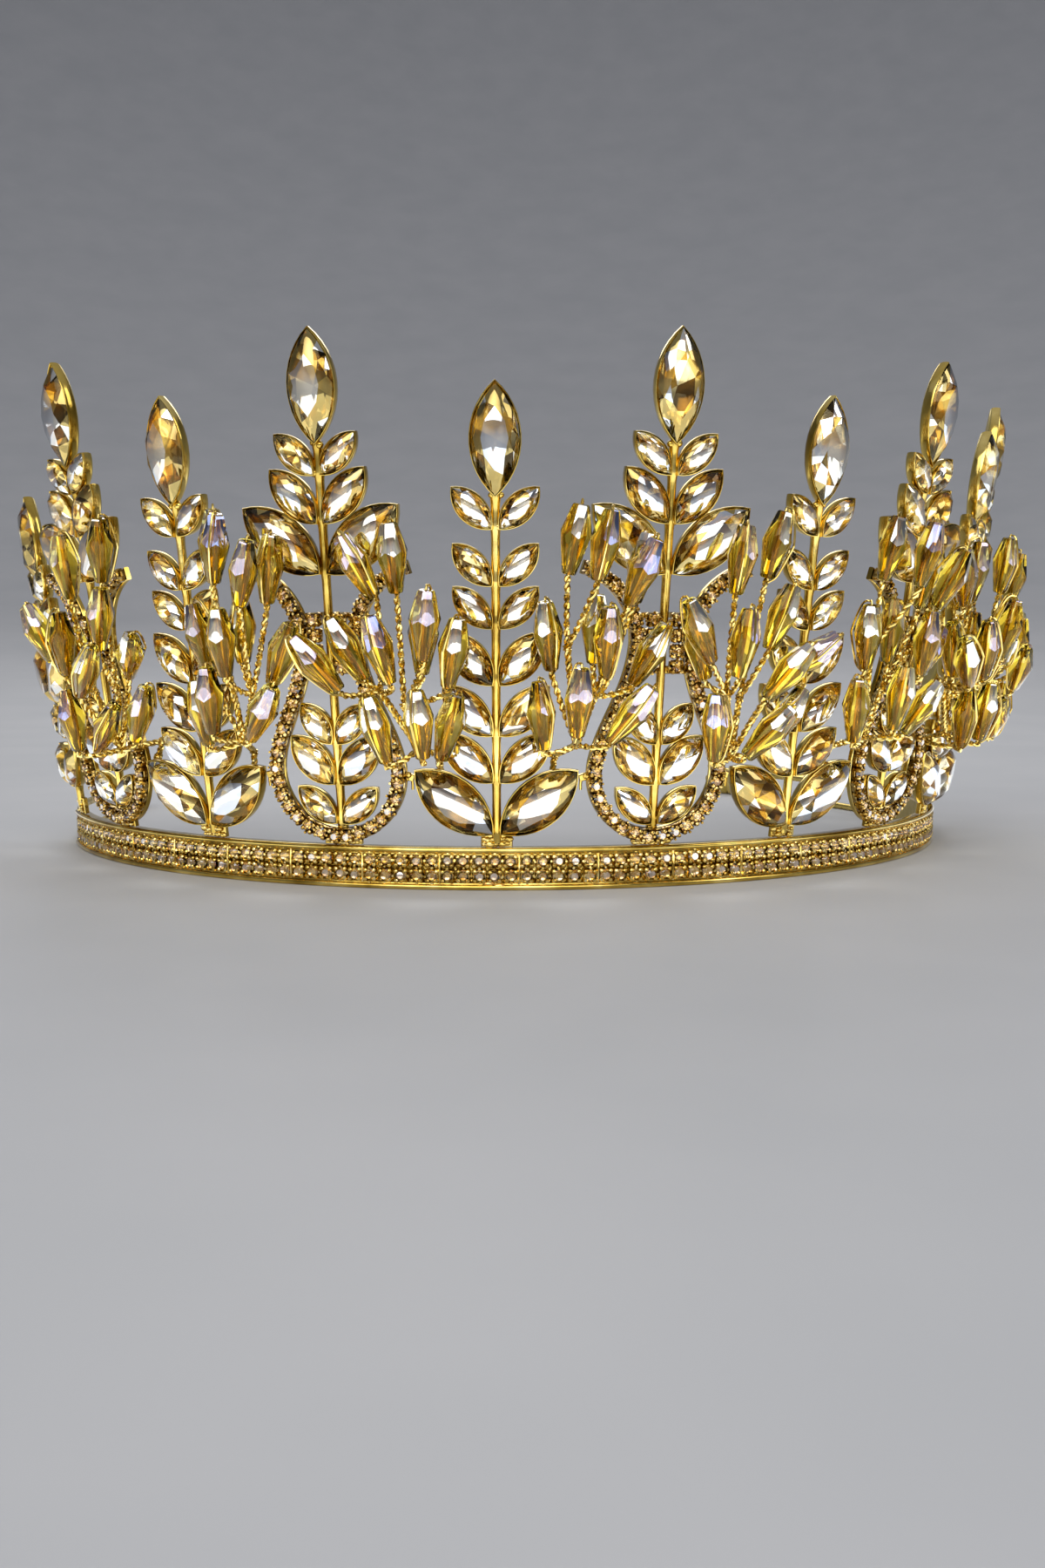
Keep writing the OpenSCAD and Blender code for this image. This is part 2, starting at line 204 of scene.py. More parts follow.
class Form:
    """Points and faces in millimetres, gathered for one mesh. Each face has a material's place in looks."""

    def __init__(self, looks):
        self.looks = looks
        self.points, self.faces, self.look, self.smooth = [], [], [], []
        self.count = 0

    def add(self, points, faces, look=0, smooth=True, place=None):
        """Adds a shape. Look is one for all its faces, or a list with one for each."""
        points = np.asarray(points, dtype=float)
        if place is not None:
            m = np.array(place)
            points = points @ m[:3, :3].T + m[:3, 3]
        self.points.append(points)
        self.faces += [[i + self.count for i in f] for f in faces]
        self.look += look if isinstance(look, list) else [look] * len(faces)
        self.smooth += [smooth] * len(faces)
        self.count += len(points)

    def piece(self, name, node, slot, sharp=38):
        """Makes the object, which rides on the crown and stands for the CAD node."""
        mesh = bpy.data.meshes.new(name)
        mesh.from_pydata((np.vstack(self.points) * METRE).tolist(), [], self.faces)
        for look in self.looks:
            mesh.materials.append(look)
        mesh.polygons.foreach_set("material_index", self.look)
        mesh.polygons.foreach_set("use_smooth", self.smooth)
        bm = bmesh.new()
        bm.from_mesh(mesh)
        bmesh.ops.recalc_face_normals(bm, faces=bm.faces)
        bm.to_mesh(mesh)
        bm.free()
        mesh.set_sharp_from_angle(angle=math.radians(sharp))
        obj = bpy.data.objects.new(name, mesh)
        bpy.context.scene.collection.objects.link(obj)
        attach(obj, "root")
        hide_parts(node)


def circle(count):
    """(cosine, sine) of angles at equal distances all the way round."""
    return [(math.cos(a), math.sin(a)) for a in (2 * math.pi * i / count for i in range(count))]


def arc_points(cx, cy, r, start, end, steps):
    """Points of an arc from one angle to another, in degrees."""
    angles = [math.radians(start + (end - start) * i / steps) for i in range(steps + 1)]
    return [(cx + r * math.cos(a), cy + r * math.sin(a)) for a in angles]


def skin(rings, end_cap=True):
    """Points and faces of a skin over rings of equally many points, closed at its start and, if wanted, its end."""
    n = len(rings[0])
    points = [p for ring in rings for p in ring]
    faces = []
    for i in range(len(rings) - 1):
        for j in range(n):
            a, b = i * n + j, i * n + (j + 1) % n
            faces.append([a, b, b + n, a + n])
    faces.append(list(range(n - 1, -1, -1)))
    if end_cap:
        faces.append(list(range((len(rings) - 1) * n, len(rings) * n)))
    return points, faces


def frames_along(path):
    """Each point of a path with two directions across it, carried along without twisting."""
    path = [Vector(p) for p in path]
    last = len(path) - 1
    heads = [(path[min(i + 1, last)] - path[max(i - 1, 0)]).normalized() for i in range(last + 1)]
    side = heads[0].orthogonal().normalized()
    out = []
    for p, head in zip(path, heads):
        side = (side - head * side.dot(head)).normalized()
        out.append((p, side, head.cross(side)))
    return out


def tube(path, radius, sides):
    """Points and faces of a round wire. The radius is a number, or a list with one for each point."""
    rings = []
    for i, (p, side, up) in enumerate(frames_along(path)):
        r = radius[i] if isinstance(radius, list) else radius
        rings.append([tuple(p + (side * c + up * s) * r) for c, s in circle(sides)])
    return skin(rings)


def ball(centre, radius, squash, rows, sides):
    """Points and faces of a ball with flat poles. Squash is its stretch along each axis."""
    points, faces = [], []
    for i in range(1, rows):
        t = math.pi * i / rows
        for c, s in circle(sides):
            away = (math.sin(t) * c, math.sin(t) * s, math.cos(t))
            points.append([m + radius * q * a for m, q, a in zip(centre, squash, away)])
    for i in range(rows - 2):
        for j in range(sides):
            a, b = i * sides + j, i * sides + (j + 1) % sides
            faces.append([a, a + sides, b + sides, b])
    faces.append(list(range(sides)))
    faces.append([(rows - 2) * sides + j for j in range(sides - 1, -1, -1)])
    return points, faces


def leaf_outline(length, width, inset, steps):
    """Points of a leaf outline drawn in by inset: foot first, round to the tip on +y and back."""
    radius = (length * length + width * width) / (4 * width)
    r, c = radius - inset, radius - width / 2
    a = math.acos(c / r)
    points = []
    for side in (1, -1):
        for i in range(steps):
            b = side * (2 * a * i / steps - a)
            points.append((side * (r * math.cos(b) - c), length / 2 + r * math.sin(b)))
    return points


# ---- Materials ----


# Noise seldom goes below the first of these or above the second
NOISE_LOW, NOISE_HIGH = 0.3, 0.7


def new_material(name, **sockets):
    """A material whose Principled shader has the given socket values, with its node tree and that shader."""
    mat = bpy.data.materials.new(name)
    mat.use_nodes = True
    shader = mat.node_tree.nodes["Principled BSDF"]
    for key, value in sockets.items():
        shader.inputs[key.replace("_", " ")].default_value = value
    return mat, mat.node_tree, shader


def noise(tree, scale, detail, distortion=0.0):
    """Noise over the object's own space in metres. The scale is in features for each 100 mm."""
    coord = tree.nodes.new("ShaderNodeTexCoord")
    node = tree.nodes.new("ShaderNodeTexNoise")
    node.inputs["Scale"].default_value = scale * 10
    node.inputs["Detail"].default_value = detail
    node.inputs["Distortion"].default_value = distortion
    tree.links.new(coord.outputs["Object"], node.inputs["Vector"])
    return node.outputs["Fac"]


def ramp(tree, source, stops):
    """Colour ramp from (place, colour) stops."""
    node = tree.nodes.new("ShaderNodeValToRGB")
    marks = node.color_ramp.elements
    while len(marks) < len(stops):
        marks.new(0.5)
    for mark, (place, colour) in zip(marks, stops):
        mark.position = place
        mark.color = (*colour, 1)
    tree.links.new(source, node.inputs["Fac"])
    return node.outputs["Color"]


def remap(tree, source, low, high):
    """Noise stretched to run from low to high."""
    node = tree.nodes.new("ShaderNodeMapRange")
    node.inputs["From Min"].default_value = NOISE_LOW
    node.inputs["From Max"].default_value = NOISE_HIGH
    node.inputs["To Min"].default_value = low
    node.inputs["To Max"].default_value = high
    tree.links.new(source, node.inputs["Value"])
    return node.outputs["Result"]


def tint(tree, shader, source, colours, reach):
    """Lets the base colour drift between the colours, which lie up to reach from the middle of the noise."""
    steps = [0.5 - reach + 2 * reach * i / (len(colours) - 1) for i in range(len(colours))]
    tree.links.new(ramp(tree, source, list(zip(steps, colours))), shader.inputs["Base Color"])


def bump(tree, shader, source, strength, depth_mm):
    node = tree.nodes.new("ShaderNodeBump")
    node.inputs["Strength"].default_value = strength
    node.inputs["Distance"].default_value = depth_mm * METRE
    tree.links.new(source, node.inputs["Height"])
    tree.links.new(node.outputs["Normal"], shader.inputs["Normal"])


def metal(name, colours, rough, grain, colour_scale=14, bump_strength=0.25, bump_mm=0.05):
    """Plated metal: its colour drifts between two or three tones, and its polish and surface are uneven."""
    mat, tree, shader = new_material(name, Metallic=1.0)
    tint(tree, shader, noise(tree, colour_scale, 4, 0.4), colours, 0.18)
    fine = noise(tree, grain, 2)
    tree.links.new(remap(tree, fine, *rough), shader.inputs["Roughness"])
    if bump_strength:
        bump(tree, shader, fine, bump_strength, bump_mm)
    return mat


def foil(name, low, high):
    """The mirror coat on the back of a stone, seen through it."""
    return metal(name, [low, high], (0.06, 0.16), 40, 30, bump_strength=0)


def glass(name, colours, film=0.0, film_ior=1.33, mirror=0.0, gleam=(1, 1, 1)):
    """Cut glass with a drifting tint. Film is the thickness of its coat in nanometres, mirror the coat's metal part
    and gleam the colour of its reflections."""
    mat, tree, shader = new_material(
        name, Transmission_Weight=1.0, Roughness=0.0, IOR=1.54, Metallic=mirror,
        Thin_Film_Thickness=film, Thin_Film_IOR=film_ior, Specular_Tint=(*gleam, 1))
    tint(tree, shader, noise(tree, 22, 2), colours, 0.14)
    return mat


GOLD = metal("gold_bright", [(0.34, 0.21, 0.03), (0.6, 0.42, 0.09), (0.86, 0.66, 0.22)], (0.08, 0.2), 120)
GOLD_CUP = metal("gold_cups", [(0.28, 0.16, 0.025), (0.64, 0.44, 0.1), (0.9, 0.71, 0.3)], (0.1, 0.24), 90, 60)
GOLD_GRAIN = metal("gold_grains", [(0.3, 0.17, 0.025), (0.72, 0.51, 0.13), (0.97, 0.8, 0.38)], (0.08, 0.18), 150, 80)
GOLD_LOOP = metal("gold_loops", [(0.12, 0.06, 0.008), (0.42, 0.26, 0.06), (0.84, 0.64, 0.26)], (0.1, 0.24), 150, 80)
GOLD_BACK = metal("gold_back", [(0.42, 0.33, 0.1), (0.56, 0.44, 0.15)], (0.34, 0.5), 60, 10, 0.4, 0.08)
GOLD_WIRE = metal("gold_wire", [(0.54, 0.36, 0.07), (0.86, 0.67, 0.24)], (0.08, 0.18), 160, 30, 0.15, 0.03)
ARM_TONES = [(0.5, 0.37, 0.08), (0.7, 0.52, 0.14), (0.85, 0.66, 0.2)]
GOLD_ARM = metal("gold_arms", ARM_TONES, (0.2, 0.34), 60, 30, 0.2, 0.04)
SOLDER_TONES = [(0.72, 0.3, 0.1), (0.9, 0.56, 0.16), (1.0, 0.8, 0.4)]
SOLDER = metal("copper_solder", SOLDER_TONES, (0.1, 0.3), 120, 90, 0.3, 0.05)

FOILS = [
    foil("foil_brown", (0.09, 0.04, 0.004), (0.2, 0.1, 0.015)),
    foil("foil_amber", (0.42, 0.24, 0.035), (0.62, 0.4, 0.08)),
    foil("foil_gold", (0.72, 0.52, 0.17), (0.84, 0.65, 0.26)),
    foil("foil_pale", (0.86, 0.76, 0.46), (0.94, 0.86, 0.6)),
    foil("foil_white", (0.93, 0.94, 0.92), (0.98, 0.97, 0.94)),
]
FOIL_SMALL = foil("rhinestone_foil", (0.6, 0.4, 0.2), (0.94, 0.77, 0.5))
CRYSTAL = glass("champagne_crystal", [(0.94, 0.8, 0.46), (0.98, 0.88, 0.6)], gleam=(1, 0.8, 0.42))
CRYSTAL_FLASH = glass("champagne_flash", [(0.99, 0.94, 0.82), (1.0, 0.97, 0.9)], 55, 2.4, 0.42)
CRYSTAL_BLUE = glass("champagne_blue_flash", [(0.86, 0.9, 0.96), (0.93, 0.95, 1.0)], 48, 2.3, 0.45)
CRYSTAL_AMBER = glass("champagne_amber_flash", [(0.76, 0.53, 0.14), (0.9, 0.7, 0.27)], 40, 1.9, 0.35, (1, 0.74, 0.3))
CRYSTAL_SMALL = glass("rhinestone_crystal", [(0.9, 0.72, 0.4), (0.98, 0.85, 0.56)], 45, 1.8)
TABLE_SMALL = glass("rhinestone_table", [(0.78, 0.64, 0.56), (0.9, 0.8, 0.74)], 130, 1.7)
TABLE_SMALL_FLASH = glass("rhinestone_table_flash", [(0.84, 0.76, 0.74), (0.96, 0.9, 0.9)], 60, 2.0, 0.3)
HONEY = [(0.56, 0.37, 0.025), (0.76, 0.56, 0.06)]
BEAD = glass("honey_glass", HONEY, gleam=(1, 0.76, 0.28))
# Coats for the beads' broad facets: real coat films, but their pale colours go only on the facets that face out and
# up, so they are partly painted highlight
BEAD_COATS_AND_HIGHLIGHTS = [
    glass("honey_glass_plain", HONEY, gleam=(1, 0.8, 0.4)),
    glass("honey_glass_white", [(0.9, 0.87, 0.8), (0.98, 0.97, 0.93)], 56, 2.3, 0.45),
    glass("honey_glass_lilac", [(0.84, 0.8, 0.84), (0.94, 0.9, 0.96)], 134, 2.1, 0.34),
    glass("honey_glass_violet", [(0.66, 0.5, 0.8), (0.8, 0.68, 0.92)], 148, 2.2, 0.3),
]


# ---- Cut stones ----


# Kinds of facet
TABLE, CROWN, BACK = range(3)


def navette(length, width, inset, girdle, crown, table, depth):
    """Points, faces and kinds of a leaf-shaped stone with 16 girdle points. Crown and depth are the heights above
    and below its girdle, and table is the scale of its table."""
    edge = leaf_outline(length, width, inset, 8)
    middle = length / 2
    star_scale, star_rise = 0.8, 0.66 * crown
    back_scale, back_drop = 0.52, 0.7 * depth

    def level(indices, scale, n):
        return [(scale * edge[i][0], middle + scale * (edge[i][1] - middle), n) for i in indices]

    odd, even = range(1, 16, 2), range(0, 16, 2)
    points = level(range(16), 1, girdle)
    points += level(odd, star_scale, girdle + star_rise)
    points += level(even, table, girdle + crown)
    points += level(odd, back_scale, girdle - back_drop)
    points += [(0, middle, girdle - depth)]
    mid, top, low, tip = 16, 24, 32, 40
    faces, kinds = [[top + j for j in range(8)]], [TABLE]
    for j in range(8):
        g0, g1, g2 = 2 * j, 2 * j + 1, (2 * j + 2) % 16
        nxt, prev = (j + 1) % 8, (j + 7) % 8
        faces += [[top + j, mid + j, top + nxt], [top + j, mid + prev, g0, mid + j]]
        faces += [[mid + j, g0, g1], [mid + j, g1, g2]]
        faces += [[low + j, g0, g1], [low + j, g1, g2], [low + j, g2, low + nxt], [tip, low + j, low + nxt]]
        kinds += [CROWN] * 4 + [BACK] * 4
    return points, faces, kinds


def rhinestone(radius, girdle, crown, depth):
    """Points, faces and kinds of a round stone with 16 girdle points, its axis along z."""
    def level(count, scale, z):
        return [(radius * scale * c, radius * scale * s, z) for c, s in circle(count)]

    table = 0.52
    points = level(16, 1, girdle) + level(8, table, girdle + crown) + [(0, 0, girdle - depth)]
    top, tip = 16, 24
    faces, kinds = [[top + j for j in range(8)]], [TABLE]
    for j in range(8):
        g0, g1, g2 = 2 * j, 2 * j + 1, (2 * j + 2) % 16
        here, nxt = top + j, top + (j + 1) % 8
        faces += [[here, g0, g1], [here, g1, nxt], [nxt, g1, g2], [tip, (g0 - 1) % 16, g0, g1]]
        kinds += [CROWN] * 3 + [BACK]
    return points, faces, kinds


def claw(x, y, base, top, radius):
    """Points and faces of one prong at x, y, which leans in over its stone at the origin."""
    lean = 1 - 0.25 * radius / math.hypot(x, y)
    # Scale of the prong's distance from the origin, height, and scale of its radius
    levels = [(1.0, base, 1.0), (1.0, base + 0.55 * (top - base), 1.0),
              (lean, top - 0.35 * radius, 0.85), (lean * 0.96, top, 0.35)]
    rings = [[(x * out + radius * thick * c, y * out + radius * thick * s, z) for c, s in circle(6)]
             for out, z, thick in levels]
    return skin(rings)


def cup(half_x, half_y, base, top):
    """Points and faces of a squared cup with rounded corners, open at the top."""
    wall, corner = 0.2, 0.7 * half_x

    def outline(inset, z):
        hx, hy, r = half_x - inset, half_y - inset, max(corner - inset, 0.05)
        ring = []
        for sx, sy, start in ((1, 1, 0), (-1, 1, 90), (-1, -1, 180), (1, -1, 270)):
            ring += arc_points(sx * (hx - r), sy * (hy - r), r, start, start + 90, 3)
        return [(x, y, z) for x, y in ring]

    return skin([outline(0.08, base), outline(0, base + 0.15), outline(0, top - 0.08), outline(wall / 2, top),
                 outline(wall, top - 0.08), outline(wall * 1.4, base + 0.2)])


# Looks of a small stone: its cup and claws, its crown, its two tables, then its four foils
SMALL_STONE = [CRYSTAL_SMALL, TABLE_SMALL, TABLE_SMALL_FLASH, FOIL_SMALL]
PAVE_LOOKS = [GOLD_GRAIN, *SMALL_STONE, *FOILS[1:4]]
LOOP_LOOKS = [GOLD_LOOP, *SMALL_STONE, *FOILS[:3]]
SMALL_CROWN = 1
# The looks that its table and each of its back facets are drawn from
SMALL_TABLES = [2, 2, 3]
SMALL_BACKS = [4, 4, 5, 6, 7]
PRONG_R = 0.36


def set_small_stone(form, place, rng, radius, half_x, half_y, base, girdle, top):
    """One small stone in its squared cup. The form's looks are PAVE_LOOKS or LOOP_LOOKS."""
    form.add(*cup(half_x, half_y, base, girdle - 0.3), place=place)
    tilt = place @ turned(rng.uniform(0, 45), "Z") @ turned(rng.uniform(-5, 5), "X") @ turned(rng.uniform(-5, 5), "Y")
    points, faces, kinds = rhinestone(radius, girdle, top - girdle - 0.06, girdle - base - 0.05)
    table = rng.choice(SMALL_TABLES)
    look = [table if kind == TABLE else SMALL_CROWN if kind == CROWN else rng.choice(SMALL_BACKS) for kind in kinds]
    form.add(points, faces, look=look, smooth=False, place=tilt)
    out = 0.76 * radius
    for sx in (-1, 1):
        for sy in (-1, 1):
            x, y = sx * out * rng.uniform(0.97, 1.05), sy * out * rng.uniform(0.97, 1.05)
            form.add(*claw(x, y, base + 0.2, top - rng.uniform(0, 0.06), PRONG_R), place=place)
    # Grains of metal raised between the claws
    for x, y in ((1, 0), (0, 1), (-1, 0), (0, -1)):
        if rng.random() < 0.75:
            x, y = x * half_x * 0.98 + rng.uniform(-0.12, 0.12), y * half_y * 0.98 + rng.uniform(-0.12, 0.12)
            centre = (x, y, girdle - 0.1 + rng.uniform(-0.05, 0.12))
            form.add(*ball(centre, rng.uniform(0.2, 0.28), (1, 1, 1.2), 4, 6), place=place)


# ---- The band ----


# Section of the thin tray lip inside each rim: out from the plate, and above the rim
TRAY_LIP = [(0.75, 0.01), (0.72, 0.12), (0.84, 0.15), (0.86, 0.24), (0.76, 0.3), (0.1, 0.3), (0, 0.4)]
# How far the closed ends stand back from the channel's outline
END_INSET = 0.25


def band_section():
    """Section of the channel, x outwards and z up: round rims, a thin tray lip inside each, and the plate."""
    back, front = -BAND_T / 2, BAND_T / 2
    r, corner = RIM_H / 2, 0.3
    lower = [(back, 2 * corner)] + arc_points(back + corner, corner, corner, 180, 270, 3)
    lower += arc_points(front - r, r, r, -90, 90, 8)
    lower += [(back + BACK_T + x, RIM_H + z) for x, z in TRAY_LIP]
    return lower + [(x, BAND_H - z) for x, z in reversed(lower)]


def band_ring(s, section):
    """The section's points at the distance s along the band."""
    m = at_band(s * DEG_PER_MM)
    return [tuple(m @ Vector((0, -x, z))) for x, z in section]


def build_headband():
    form = Form([GOLD, GOLD_BACK, GOLD_CUP, SOLDER])
    section = band_section()
    steps = 250
    points, faces = skin([band_ring(PAVE_LEN * (2 * i / steps - 1), section) for i in range(steps + 1)])
    # The first and the last face of each round are the band's inside
    n = len(section)
    look = [1 if i % n in (0, n - 1) and i < steps * n else 0 for i in range(len(faces))]
    form.add(points, faces, look=look)
    back, front = -BAND_T / 2 + END_INSET, BAND_T / 2 - END_INSET
    low, high = END_INSET, BAND_H - END_INSET
    end = [(back, low), (front, low), (front, high), (back, high)]
    for side in (-1, 1):
        form.add(*skin([band_ring(side * (PAVE_LEN - depth), end) for depth in (1.9, 0.05)]), smooth=False)
    # Solder left on the lower rim beside the first branch on the left, and small runs at the castings' feet
    rng = random.Random(11)
    for _ in range(7):
        s = 0.4 - PITCH + rng.uniform(-1.7, 1.7)
        m = at_band(s * DEG_PER_MM, rng.uniform(0.25, 0.95))
        squash = (rng.uniform(1.3, 2.0), 0.8, rng.uniform(0.5, 0.75))
        form.add(*ball((0, -BAND_T / 2 + 0.45, 0), rng.uniform(0.38, 0.5), squash, 7, 12), look=3, place=m)
    for k in MOTIFS:
        for _ in range(5):
            s = k * PITCH + rng.uniform(-1.8, 1.8)
            m = at_band(s * DEG_PER_MM, BAND_H - 0.2)
            squash = (rng.uniform(1.2, 2.2), 1.0, 0.5)
            form.add(*ball((0, rng.uniform(-0.5, 0.3), 0), rng.uniform(0.28, 0.4), squash, 6, 10), look=2, place=m)
    form.piece("band_channel", "headband", "gold", 50)


# The band's stones: spacing along it, spacing of the two rows, room at its ends, and stones between upright bars
PAVE_PITCH = 2.2
PAVE_ROW = 2.16
PAVE_MARGIN = 2.4
PAVE_GROUP = 5


def build_band_pave():
    form = Form(PAVE_LOOKS)
    rng = random.Random(5)
    end = PAVE_LEN - PAVE_MARGIN
    count = int(2 * end / PAVE_PITCH)
    step = 2 * end / count
    out = moved(0, 0, BACK_T - BAND_T / 2)
    half = BAND_H / 2 - RIM_H - 0.1
    bar = [(0, -half, 0.7), (0, -0.3, 0.82), (0, 0.3, 0.82), (0, half, 0.7)]
    for i in range(count):
        s = -end + (i + 0.5) * step
        for z in (BAND_H / 2 - PAVE_ROW / 2, BAND_H / 2 + PAVE_ROW / 2):
            # Here x runs along the band, y up and z out of it
            m = at_band((s + rng.uniform(-0.05, 0.05)) * DEG_PER_MM, z + rng.uniform(-0.04, 0.04)) @ turned(90, "X")
            set_small_stone(form, m @ out, rng, 0.92, 1.1, 1.05, 0.08, 0.66, 1.18)
        if i % PAVE_GROUP == PAVE_GROUP // 2:
            m = at_band((s + step / 2) * DEG_PER_MM, BAND_H / 2) @ turned(90, "X") @ out
            form.add(*tube(bar, 0.2, 6), place=m)
    form.piece("band_rhinestones", "band_pave", "rhinestones")


# Steps along an arm's end cap: distance, half height and half thickness. Its section is a circle squared by a power
CAP_ROWS = [
    (0, 2.35, 1.15), (0.25, 2.85, 1.4), (0.7, 3.0, 1.5), (1.4, 2.98, 1.5), (1.8, 2.8, 1.38), (2.05, 2.5, 1.2),
    (2.3, 2.6, 1.26), (2.9, 2.88, 1.42), (4.0, 3.0, 1.5), (5.4, 2.8, 1.44), (7.0, 2.32, 1.3), (8.6, 1.75, 1.08),
    (9.9, 1.25, 0.82), (10.9, 0.8, 0.52), (11.3, 0.5, 0.32), (11.48, 0.2, 0.14),
]
CAP_POWER = 0.62


def build_arm(side):
    """The two rails, the web between them at the channel's end, and the collared cap."""
    def seen_from(m, points):
        """The points in the frame m of the right arm, mirrored for the left one."""
        return [(side * q[0], q[1], q[2]) for q in (m @ Vector(p) for p in points)]

    form = Form([GOLD_ARM])
    r = RAIL_D / 2
    start = PAVE_LEN + GAP
    bend = HALF_DEG / DEG_PER_MM - start
    bend_steps, straight_steps = 24, 12
    for z in (r, BAND_H - r):
        path = []
        for i in range(bend_steps + 1):
            path += seen_from(at_band((start + bend * i / bend_steps) * DEG_PER_MM, z), [(0, 0, 0)])
        straight = [(ARM_STRAIGHT * i / straight_steps + 0.4, 0, 0) for i in range(1, straight_steps + 1)]
        path += seen_from(at_band(HALF_DEG, z), straight)
        form.add(*tube(path, r, 12))
    web = []
    web_len, web_steps = 5.5, 8
    low, high = RAIL_D * 0.7, BAND_H - RAIL_D * 0.7
    for i in range(web_steps + 1):
        t = i / web_steps
        top = high - (high - low - 0.2) * t ** 1.3
        section = [(0, -0.3, low), (0, 0.45, low), (0, 0.45, top), (0, -0.3, top)]
        web.append(seen_from(at_band((start + web_len * t) * DEG_PER_MM), section))
    form.add(*skin(web), smooth=False)
    m = at_band(HALF_DEG) @ moved(ARM_STRAIGHT, 0, BAND_H / 2)
    squared = [[math.copysign(abs(v) ** CAP_POWER, v) for v in cs] for cs in circle(20)]
    form.add(*skin([seen_from(m, [(x, w * c, h * s) for c, s in squared]) for x, h, w in CAP_ROWS]))
    name = "right" if side > 0 else "left"
    form.piece(f"arm_rails_{name}", f"arm_{name}", "gold", 50)


# ---- Castings ----


def leaf_places(k):
    """(frame, length, width) of every leaf cup of a casting, the top one last."""
    out = []
    for height, length, width, angle in pairs_of(k):
        for side in (-1, 1):
            out.append((moved(side * LEAF_GAP, height, 0) @ turned(side * (angle - 90), "Z"), length, width))
    height, length, width = top_of(k)
    out.append((moved(0, height, 0), length, width))
    return out


# Section of a leaf cup from its back round the rim to its floor: inset from the outline, and height
CUP_WALL = [(0.95, 0.0), (0.42, 0.06), (0.16, 0.32), (0.03, 0.8), (0.0, 1.3), (0.01, 1.66), (0.06, 1.77),
            (0.13, 1.78), (0.19, 1.7), (0.21, 1.5), (0.24, 0.6), (0.7, 0.22)]
# The same for the girdle of the stone in it
SEAT = (0.2, 1.68)
# Steps along each side of a cup's outline, and how many of its rows of faces are its back
CUP_STEPS = 13
CUP_BACK_ROWS = 2


def leaf_cup(length, width):
    """Points, faces and looks of a leaf cup."""
    rings = [[(x, y, n) for x, y in leaf_outline(length, width, inset, CUP_STEPS)] for inset, n in CUP_WALL]
    points, faces = skin(rings)
    # The cap at the start of the skin is the plate at the cup's back
    back, plate = CUP_BACK_ROWS * len(rings[0]), len(faces) - 2
    return points, faces, [1 if i < back or i == plate else 0 for i in range(len(faces))]


def strip_half_line():
    """Middle line of a loop's right half, from its foot up to the end of its horn."""
    def curve(p, t):
        return tuple((1 - t) ** 3 * p[0][i] + 3 * t * (1 - t) ** 2 * p[1][i] + 3 * t * t * (1 - t) * p[2][i]
                     + t ** 3 * p[3][i] for i in range(2))

    a = math.radians(FOOT_END_DEG)
    foot_end = (LOOP_R * math.cos(a), FOOT_Y + LOOP_R * math.sin(a))
    neck = (3.9, 27.8)
    flank = [foot_end, (foot_end[0] - 5 * math.sin(a), foot_end[1] + 5 * math.cos(a)), (4.4, 21.5), neck]
    horn = [neck, (3.6, 32.6), (6.6, 37.3), (12, 38.7)]
    foot_steps, curve_steps = 40, 28
    line = arc_points(0, FOOT_Y, LOOP_R, -90, FOOT_END_DEG, foot_steps)
    for bend in (flank, horn):
        line += [curve(bend, i / curve_steps) for i in range(1, curve_steps + 1)]
    return line


def length_of(line):
    return sum(math.dist(a, b) for a, b in zip(line, line[1:]))


def walk(line, distances):
    """(point, direction) on a line of points at each distance along it."""
    out, done, i = [], 0.0, 0
    for d in distances:
        while i < len(line) - 2 and done + math.dist(line[i], line[i + 1]) < d:
            done += math.dist(line[i], line[i + 1])
            i += 1
        a, b = Vector(line[i]), Vector(line[i + 1])
        head = (b - a).normalized()
        out.append((a + head * (d - done), head))
    return out


HALF_LINE = strip_half_line()
HALF_LENGTH = length_of(HALF_LINE)


def strip_bar(form, line, width, low, place):
    """A flat bar with softened edges that follows a line of points in the plane of the casting."""
    half, soft, high = width / 2, 0.12, PLATE_T
    section = [(-half + soft, low), (half - soft, low), (half, low + soft), (half, high - soft),
               (half - soft, high), (-half + soft, high), (-half, high - soft), (-half, low + soft)]
    rings = []
    for i, p in enumerate(line):
        a, b = line[max(i - 1, 0)], line[min(i + 1, len(line) - 1)]
        d = Vector((b[0] - a[0], b[1] - a[1])).normalized()
        rings.append([(p[0] - d.y * s, p[1] + d.x * s, n) for s, n in section])
    form.add(*skin(rings), place=place)


def add_lug(form, m, side, rng):
    """A small lug with a cut pin hanging from it and solder round it, on a loop's flank."""
    x, y = side * (LOOP_R + STRIP_W / 2), FOOT_Y - 0.5
    strip_bar(form, [(x - side * 0.6, y), (x + side * 0.1, y - 0.1), (x + side * 0.8, y - 0.3)], 1.0, 0.1, m)
    pin = [(x + side * 0.55, y - 0.4, 0.5), (x + side * 0.6, y - 1.2, 0.52), (x + side * 0.55, y - 1.9, 0.5)]
    form.add(*tube(pin, [0.24, 0.22, 0.2], 8), place=m)
    for _ in range(3):
        centre = (x + side * rng.uniform(-0.3, 0.4), y + rng.uniform(-0.5, 0.3), rng.uniform(0.6, 0.9))
        form.add(*ball(centre, rng.uniform(0.3, 0.42), (1.1, 1.2, 0.9), 6, 9), look=2, place=m)


